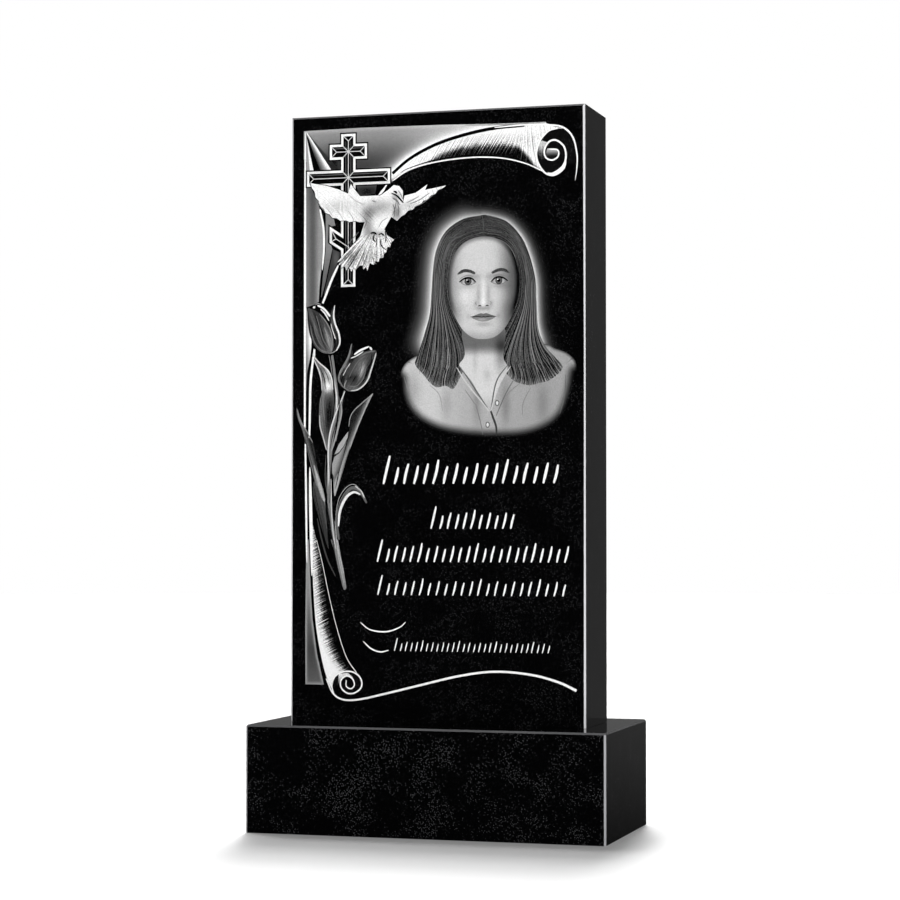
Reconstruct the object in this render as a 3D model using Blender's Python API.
"""A polished granite headstone: an upright slab on a low plinth.

The slab's front carries a shallow drawing of a scroll, a cross, a dove and two tulips, and five rows of
cut strokes. Metres, +Z up. The origin is the centre of the plinth's underside, and the front faces -Y.
"""

import math

import bmesh
import bpy
from mathutils import Vector

# Plinth
PLINTH_WIDTH = 0.600
PLINTH_DEPTH = 0.300
PLINTH_HEIGHT = 0.175
PLINTH_CHAMFER = 0.003

# Slab
SLAB_WIDTH = 0.500
SLAB_HEIGHT = 1.000
SLAB_THICKNESS = 0.150
SLAB_CHAMFER = 0.003
SLAB_ARRIS = 0.0015
BED_GAP = 0.0003

# Depths of the cuts below the polished face
ROW_DEPTH = 0.0025
LINE_DEPTH = 0.0015
CROSS_DEPTH = 0.0020
DOVE_DEPTH = 0.0010
TULIP_DEPTH = 0.0010

# The drawing is laid out on a face of this many units, and stretches with the slab.
# All that follows is in those units: from the face's left edge, and up from its foot.
LAYOUT_WIDTH = 500
LAYOUT_HEIGHT = 1000

# Scroll: each line is its knots, and its width
PAGE_LINE = 3.0
BORDER_LINE = 4.0
TOP_EDGE = (
    (176, 902), (206, 925), (250, 946), (300, 960), (350, 968), (400, 970),
    (440, 968), (464, 963), (480, 947), (487, 920), (487, 898), (484, 876),
)
TOP_ROLL_EDGE = ((176, 888), (205, 905), (250, 916), (310, 921), (360, 918), (400, 908), (430, 894))
TOP_CURL = (
    (440, 929), (455, 927), (456, 917), (447, 911), (436, 915), (433, 927), (440, 940), (452, 943),
    (465, 933), (469, 916), (463, 898), (448, 887), (434, 891), (423, 907), (420, 924), (426, 943),
    (440, 958), (456, 962),
)
FOOT_EDGE = (
    (33, 420), (35, 330), (37, 240), (42, 165), (51, 112), (62, 72), (74, 48), (92, 38),
    (120, 39), (160, 48), (220, 63), (290, 80), (350, 88), (410, 84), (455, 73), (485, 60),
)
FOOT_ROLL_EDGE = ((45, 300), (55, 262), (66, 212), (80, 157), (97, 108), (115, 82))
FOOT_CURL = (
    (97, 70), (97, 60), (105, 56), (111, 62), (108, 72), (98, 77), (88, 70), (88, 58), (98, 49),
    (110, 49), (121, 56), (124, 66), (119, 77), (106, 84), (90, 83), (77, 75), (72, 60), (76, 46),
)
LEFT_BORDER = ((24, 976), (24, 730), (24, 484))
LOWER_BORDER = ((25, 458), (26, 400), (27, 330), (28, 262))
STRIP_EDGE = ((50, 846), (56, 815), (57, 780), (54, 745), (51, 715), (50, 693))
PAGE_EDGE = ((82, 752), (70, 727), (60, 702), (55, 690))
LOWER_STRIP_EDGE = ((41, 614), (38, 595), (34, 560), (33, 520), (32, 468))

# Cross: bars about one upright, the lowest of them slanting
CROSS_X = 99.5
CROSS_FOOT = 716
CROSS_TOP = 969
BAR_HALF = 12.5
SLANT_BAR_HALF = 13.5
SHORT_BAR_Z = 939.5
SHORT_BAR_REACH = 32.5
LONG_BAR_Z = 896.5
LONG_BAR_REACH = 72.5
SLANT_BAR_Z = 782
SLANT_BAR_REACH = 32.5
SLANT_RISE = 0.65
CROSS_BAND = 4.0
CROSS_RIDGE = 1.3
WING_FOOT_Z = 822

# Dove: plain stretches by their knots, and feathered ones by their bow and number of feathers
DOVE_HALO = 1.2
DOVE_TIP = (33, 890)
DOVE_BACK = (
    (60, 885), (84, 877), (99, 870), (104, 886), (111, 876), (120, 865), (140, 865), (155, 865),
    (168, 873), (178, 881), (188, 879), (194, 871), (194, 852), (197, 863), (216, 867), (236, 880),
    (232, 871),
)
DOVE_RIGHT_TIP = (268, 877)
DOVE_ARMPIT = (191, 829)
DOVE_BREAST = ((184, 822), (177, 827), (174, 829), (162, 809), (167, 799))
DOVE_TAIL_RIGHT = (179, 791)
DOVE_TAIL_LEFT = (82, 757)
DOVE_RUMP = ((106, 784), (120, 798), (128, 822))
RIGHT_WING_FEATHERS = (2, 6)
TAIL_FEATHERS = (20, 7)
LEFT_WING_FEATHERS = (26, 8)
FEATHER_NOTCH = 2.5

# Tulips: each leaf or petal is its base, its tip, and how far its two edges bow from the line between them
LEAVES = (
    ((72, 608), (29, 682), 17, -16),
    ((95, 548), (150, 608), 18, -18),
    ((64, 440), (36, 607), 4, -26),
    ((76, 362), (143, 540), 20, 3),
    ((62, 352), (10, 517), 5, -4),
)
STALKS = (
    (((79, 611), (85, 624), (83, 640), (77, 655), (74, 670), (76, 686)), 3.2),
    (((46, 687), (57, 680), (68, 668)), 4.5),
    (((89, 553), (83, 566), (91, 584), (100, 600), (106, 622)), 3.5),
    (((110, 604), (121, 611), (136, 617)), 3.5),
    (
        ((72, 604), (76, 570), (80, 535), (77, 500), (70, 455), (66, 400), (69, 345), (79, 285), (94, 218)),
        6.5,
    ),
    (((93, 545), (87, 520), (84, 496), (78, 462)), 3.5),
    (((84, 300), (80, 330), (88, 362), (104, 384), (120, 380), (132, 360)), 6.0),
)

# Rows of strokes: left end, right end, foot, height, number of strokes, width of a stroke
ROWS = (
    (158, 460, 391, 33, 18, 4.6),
    (240, 386, 318, 26, 11, 3.6),
    (148, 476, 264, 26, 24, 3.6),
    (148, 472, 210, 23, 23, 3.2),
    (178, 444, 119, 15, 30, 2.2),
)
ROW_SLANT = 0.24
STROKE_HEIGHTS = (1.0, 0.82, 1.0, 0.9, 1.0, 1.18, 0.86)
STROKE_BOWS = (0.0, 0.03, -0.02, 0.02)
INITIAL_RISE = 1.4
SWASHES = (
    ((121, 165), (138, 153), (165, 150), (188, 157), (199, 166)),
    ((126, 134), (140, 122), (156, 117), (170, 120)),
)
SWASH_LINE = 2.4


def knots(pairs):
    return [Vector(pair) for pair in pairs]


def smooth(line, steps):
    """Points of a Catmull-Rom curve through the knots of a line, with this many to each span."""
    ends = [2 * line[0] - line[1], *line, 2 * line[-1] - line[-2]]
    points = []
    for before, start, end, after in zip(ends, ends[1:], ends[2:], ends[3:]):
        for step in range(steps):
            t = step / steps
            straight = 2 * start + (end - before) * t
            turn = (2 * before - 5 * start + 4 * end - after) * t**2
            twist = (3 * start - before - 3 * end + after) * t**3
            points.append((straight + turn + twist) / 2)
    return [*points, line[-1]]


def stroke(pairs, width, steps=2, end_share=0.4):
    """Outline of a line cut along the knots, which narrows to a share of its width at both ends."""
    line = smooth(knots(pairs), steps)
    last = len(line) - 1
    left, right = [], []
    for index, point in enumerate(line):
        ahead = (line[min(index + 1, last)] - line[max(index - 1, 0)]).normalized()
        fullness = min(1, end_share + (1 - end_share) * 4 * min(index, last - index) / last)
        side = Vector((-ahead.y, ahead.x)) * width / 2 * fullness
        left.append(point + side)
        right.append(point - side)
    return left + right[::-1]


def leaf(base, tip, left_bow, right_bow, steps=7, fullness=0.8):
    """Outline of a leaf, whose edges bow off the line from its base to its tip."""
    base, tip = Vector(base), Vector(tip)
    ahead = (tip - base).normalized()
    side = Vector((-ahead.y, ahead.x))

    def edge(bow):
        shares = [step / steps for step in range(1, steps)]
        return [base.lerp(tip, t) + side * bow * math.sin(math.pi * t) ** fullness for t in shares]

    return [base, *edge(left_bow), tip, *edge(right_bow)[::-1]]


def feathers(start, end, bow, count):
    """A bowed edge from one point to another, notched between its feathers. It leaves out both ends."""
    start, end = Vector(start), Vector(end)
    ahead = (end - start).normalized()
    side = Vector((-ahead.y, ahead.x))
    points = []
    for index in range(1, 2 * count):
        t = index / (2 * count)
        notch = 0 if index % 2 else FEATHER_NOTCH
        points.append(start.lerp(end, t) + side * (bow * math.sin(math.pi * t) - notch))
    return points


def dove_outline():
    """The flying dove, clockwise from the tip of its left wing."""
    return [
        Vector(DOVE_TIP),
        *knots(DOVE_BACK),
        Vector(DOVE_RIGHT_TIP),
        *feathers(DOVE_RIGHT_TIP, DOVE_ARMPIT, *RIGHT_WING_FEATHERS),
        Vector(DOVE_ARMPIT),
        *knots(DOVE_BREAST),
        Vector(DOVE_TAIL_RIGHT),
        *feathers(DOVE_TAIL_RIGHT, DOVE_TAIL_LEFT, *TAIL_FEATHERS),
        Vector(DOVE_TAIL_LEFT),
        *knots(DOVE_RUMP),
        *feathers(DOVE_RUMP[-1], DOVE_TIP, *LEFT_WING_FEATHERS),
    ]


def grown(outline, by):
    """A clockwise outline moved outwards."""
    moved = []
    for index, point in enumerate(outline):
        arriving = (point - outline[index - 1]).normalized()
        leaving = (outline[(index + 1) % len(outline)] - point).normalized()
        out = Vector((-arriving.y - leaving.y, arriving.x + leaving.x))
        moved.append(point + out.normalized() * by)
    return moved


def cross_outline(inset):
    """The cross's edge, clockwise from the top, moved inwards by an inset."""
    half = BAR_HALF - inset
    slant_inset = inset * math.hypot(1, SLANT_RISE)
    corners = [(-half, CROSS_TOP - inset), (half, CROSS_TOP - inset)]
    bars = (
        (SHORT_BAR_Z, SHORT_BAR_REACH - inset, 0, half),
        (LONG_BAR_Z, LONG_BAR_REACH - inset, 0, half),
        (SLANT_BAR_Z, SLANT_BAR_REACH - inset, -SLANT_RISE, SLANT_BAR_HALF - slant_inset),
    )
    for height, reach, rise, bar_half in bars:
        corners += [
            (half, height + rise * half + bar_half),
            (reach, height + rise * reach + bar_half),
            (reach, height + rise * reach - bar_half),
            (half, height + rise * half - bar_half),
        ]
    corners += [(half, CROSS_FOOT + inset), (-half, CROSS_FOOT + inset)]
    for height, reach, rise, bar_half in reversed(bars):
        corners += [
            (-half, height - rise * half - bar_half),
            (-reach, height - rise * reach - bar_half),
            (-reach, height - rise * reach + bar_half),
            (-half, height - rise * half + bar_half),
        ]
    return [Vector((CROSS_X + x, z)) for x, z in corners]


def ridge_lines():
    """The lines along the middle of the cross's bars, which stop short of one another."""
    gap = CROSS_BAND + CROSS_RIDGE
    lines = []
    stretches = (
        (CROSS_TOP - BAR_HALF, SHORT_BAR_Z),
        (SHORT_BAR_Z, LONG_BAR_Z),
        (WING_FOOT_Z, SLANT_BAR_Z),
        (SLANT_BAR_Z, CROSS_FOOT + BAR_HALF),
    )
    for top, foot in stretches:
        lines.append(((CROSS_X, top - gap), (CROSS_X, foot + gap)))
    for height, reach in ((SHORT_BAR_Z, SHORT_BAR_REACH), (LONG_BAR_Z, LONG_BAR_REACH)):
        for side in (-1, 1):
            lines.append(((CROSS_X + side * gap, height), (CROSS_X + side * (reach - BAR_HALF), height)))
    return [stroke(line, CROSS_RIDGE, 1, 1.0) for line in lines]


def row_outlines(left, right, foot, height, count, width):
    """A row of leaning strokes of uneven height, the first one tall."""
    outlines = []
    for index in range(count):
        x = left + (right - left) * (index + 0.5) / count
        rise = height * (STROKE_HEIGHTS[index % len(STROKE_HEIGHTS)] if index else INITIAL_RISE)
        bow = rise * STROKE_BOWS[index % len(STROKE_BOWS)]
        lean = ROW_SLANT * rise / 2
        line = ((x - lean, foot), (x + bow, foot + rise / 2), (x + lean, foot + rise))
        outlines.append(stroke(line, width, 1, 0.6))
    return outlines


def on_face(point):
    """A point of the drawing, in metres from the middle of the slab's foot."""
    return Vector(
        (
            (point.x / LAYOUT_WIDTH - 0.5) * SLAB_WIDTH,
            point.y / LAYOUT_HEIGHT * SLAB_HEIGHT,
        )
    )


def collection(name):
    made = bpy.data.collections.new(name)
    bpy.context.scene.collection.children.link(made)
    return made


def material(name, colour, roughness):
    made = bpy.data.materials.new(name)
    made.use_nodes = True
    shader = made.node_tree.nodes["Principled BSDF"]
    shader.inputs["Base Color"].default_value = (*colour, 1)
    shader.inputs["Roughness"].default_value = roughness
    shader.inputs["Metallic"].default_value = 0
    made.diffuse_color = (*colour, 1)
    return made


def cutter(name, outlines, depth, into):
    """A closed prism for each outline, which goes as deep into the slab's front as it stands out of it."""
    curve = bpy.data.curves.new(name, "CURVE")
    curve.dimensions = "2D"
    curve.fill_mode = "BOTH"
    curve.extrude = depth
    for outline in outlines:
        spline = curve.splines.new("POLY")
        spline.points.add(len(outline) - 1)
        for target, point in zip(spline.points, outline):
            target.co = (*on_face(point), 0, 1)
        spline.use_cyclic_u = True
    flat = bpy.data.objects.new(name + "_outline", curve)
    flat.rotation_euler = (math.pi / 2, 0, 0)
    flat.location = (0, -SLAB_THICKNESS / 2, PLINTH_HEIGHT + BED_GAP)
    into.objects.link(flat)
    bpy.context.view_layer.update()
    mesh = bpy.data.meshes.new_from_object(flat.evaluated_get(bpy.context.evaluated_depsgraph_get()))
    made = bpy.data.objects.new(name, mesh)
    made.matrix_world = flat.matrix_world
    bpy.data.objects.remove(flat)
    welded = bmesh.new()
    welded.from_mesh(mesh)
    bmesh.ops.remove_doubles(welded, verts=welded.verts, dist=1e-6)
    bmesh.ops.recalc_face_normals(welded, faces=welded.faces)
    welded.to_mesh(mesh)
    welded.free()
    into.objects.link(made)
    made.hide_render = True
    made.display_type = "WIRE"
    return made


def cut(target, tool):
    """Take a tool out of a target. EXACT leaves open edges beside so many thin cuts in one face."""
    boolean = target.modifiers.new(tool.name, "BOOLEAN")
    boolean.operation = "DIFFERENCE"
    boolean.solver = "MANIFOLD"
    boolean.object = tool


def block(name, size, centre, chamfers, surface, into):
    """A box. Each chamfer is a rule that picks edges by their middle, and a width."""
    mesh = bpy.data.meshes.new(name)
    shape = bmesh.new()
    bmesh.ops.create_cube(shape, size=1)
    bmesh.ops.scale(shape, vec=size, verts=shape.verts)
    for rule, width in chamfers:
        edges = [edge for edge in shape.edges if rule((edge.verts[0].co + edge.verts[1].co) / 2, size)]
        bmesh.ops.bevel(shape, geom=edges, offset=width, offset_type="OFFSET", segments=1, affect="EDGES")
    bmesh.ops.translate(shape, vec=centre, verts=shape.verts)
    bmesh.ops.recalc_face_normals(shape, faces=shape.faces)
    shape.to_mesh(mesh)
    shape.free()
    made = bpy.data.objects.new(name, mesh)
    made.data.materials.append(surface)
    into.objects.link(made)
    return made


def above_foot(middle, size):
    """The four edges round the top, and the four uprights."""
    return not math.isclose(middle.z, -size[2] / 2, rel_tol=1e-4)


def front_edge(middle, size):
    """The left, top and right edges of the front."""
    return math.isclose(middle.y, -size[1] / 2, rel_tol=1e-4) and above_foot(middle, size)


def back_edge(middle, size):
    """The left, top and right edges of the back."""
    return math.isclose(middle.y, size[1] / 2, rel_tol=1e-4) and above_foot(middle, size)


def build_plinth(into):
    surface = material("plinth granite", (0.006, 0.006, 0.007), 0.12)
    size = (PLINTH_WIDTH, PLINTH_DEPTH, PLINTH_HEIGHT)
    centre = (0, 0, PLINTH_HEIGHT / 2)
    return block("plinth", size, centre, [(above_foot, PLINTH_CHAMFER)], surface, into)


def build_slab(into):
    surface = material("slab granite", (0.004, 0.004, 0.005), 0.08)
    size = (SLAB_WIDTH, SLAB_THICKNESS, SLAB_HEIGHT)
    centre = (0, 0, PLINTH_HEIGHT + BED_GAP + SLAB_HEIGHT / 2)
    chamfers = [(front_edge, SLAB_CHAMFER), (back_edge, SLAB_ARRIS)]
    return block("stele", size, centre, chamfers, surface, into)


def build_cutters(into):
    """Every cutter of the front, and the wider dove that keeps the cross's cuts clear of the dove."""
    scroll = {
        "top_edge": (TOP_EDGE, PAGE_LINE),
        "top_roll_edge": (TOP_ROLL_EDGE, PAGE_LINE),
        "top_curl": (TOP_CURL, PAGE_LINE),
        "foot_edge": (FOOT_EDGE, PAGE_LINE),
        "foot_roll_edge": (FOOT_ROLL_EDGE, PAGE_LINE),
        "foot_curl": (FOOT_CURL, PAGE_LINE),
        "left_border": (LEFT_BORDER, BORDER_LINE),
        "lower_border": (LOWER_BORDER, BORDER_LINE),
        "strip_edge": (STRIP_EDGE, BORDER_LINE),
        "page_edge": (PAGE_EDGE, BORDER_LINE),
        "lower_strip_edge": (LOWER_STRIP_EDGE, BORDER_LINE),
    }
    made = [cutter(name, [stroke(line, width)], LINE_DEPTH, into) for name, (line, width) in scroll.items()]
    made.append(cutter("dove", [dove_outline()], DOVE_DEPTH, into))
    dove_halo = cutter("dove_halo", [grown(dove_outline(), DOVE_HALO)], 2 * CROSS_DEPTH, into)
    cross_band = cutter("cross_band", [cross_outline(0), cross_outline(CROSS_BAND)], CROSS_DEPTH, into)
    cross_ridges = cutter("cross_ridges", ridge_lines(), LINE_DEPTH, into)
    for tool in (cross_band, cross_ridges):
        cut(tool, dove_halo)
        made.append(tool)
    for index, shape in enumerate(LEAVES):
        made.append(cutter(f"leaf_{index + 1}", [leaf(*shape)], TULIP_DEPTH, into))
    for index, (line, width) in enumerate(STALKS):
        made.append(cutter(f"stalk_{index + 1}", [stroke(line, width)], TULIP_DEPTH, into))
    for index, row in enumerate(ROWS):
        made.append(cutter(f"row_{index + 1}", row_outlines(*row), ROW_DEPTH, into))
    for index, line in enumerate(SWASHES):
        made.append(cutter(f"swash_{index + 1}", [stroke(line, SWASH_LINE)], ROW_DEPTH, into))
    return made


def main():
    for thing in list(bpy.data.objects):
        bpy.data.objects.remove(thing)
    headstone = collection("headstone")
    cutters = collection("cutters")
    build_plinth(headstone)
    slab = build_slab(headstone)
    for tool in build_cutters(cutters):
        cut(slab, tool)


main()
